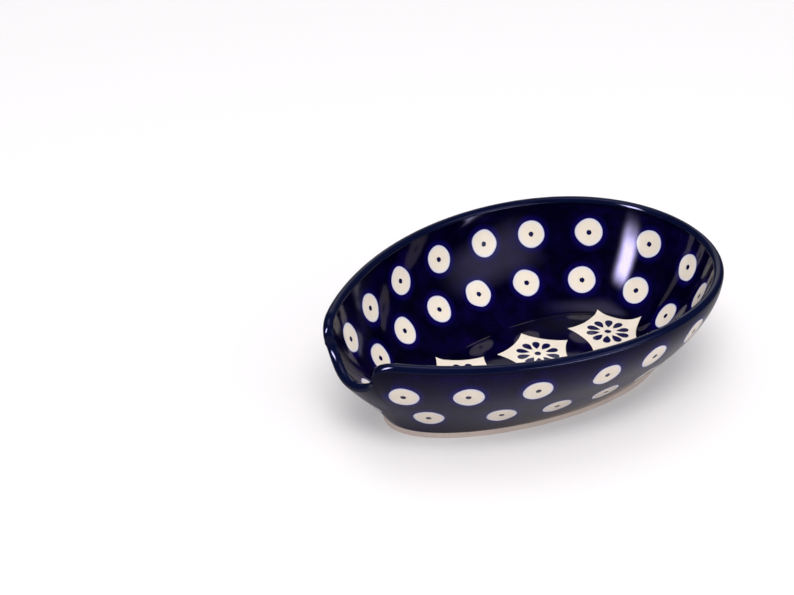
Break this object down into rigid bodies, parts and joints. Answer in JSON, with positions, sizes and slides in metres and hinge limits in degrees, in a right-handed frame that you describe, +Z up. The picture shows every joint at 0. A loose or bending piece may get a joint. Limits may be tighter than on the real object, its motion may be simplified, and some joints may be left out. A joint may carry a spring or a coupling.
{
  "type": "spoon rest",
  "caption": "Oval glazed stoneware dish that holds a cooking spoon, with a notch in the rim for its handle and a bare foot ring.",
  "frame": {"origin": "on the table, under the middle of the dish", "axes": "+X along the dish towards the wide round end, away from the notch; +Y across the dish; +Z up"},
  "size_m": [0.1249, 0.089, 0.033],
  "materials": {
    "stoneware_body": "fired stoneware, bare and matt at the foot",
    "cobalt_inside": "glossy clear glaze over dark cobalt",
    "cobalt_outside": "glossy clear glaze over dark cobalt",
    "rim_band": "glossy clear glaze over thinner cobalt",
    "white_spots_inside": "glossy clear glaze over cream clay",
    "white_spots_outside": "glossy clear glaze over cream clay",
    "spot_centres_inside": "glossy clear glaze over cobalt",
    "spot_centres_outside": "glossy clear glaze over cobalt",
    "floor_stars": "glossy clear glaze over cream clay",
    "floor_petals": "glossy clear glaze over cobalt",
    "base_glaze": "glossy clear glaze over cream clay"
  },
  "bodies": {
    "root": {"stoneware_body": "stoneware_body", "cobalt_inside": "cobalt_inside", "cobalt_outside": "cobalt_outside", "rim_band": "rim_band", "white_spots_inside": "white_spots_inside", "white_spots_outside": "white_spots_outside", "spot_centres_inside": "spot_centres_inside", "spot_centres_outside": "spot_centres_outside", "floor_stars": "floor_stars", "floor_petals": "floor_petals", "base_glaze": "base_glaze"}
  },
  "joints": []
}
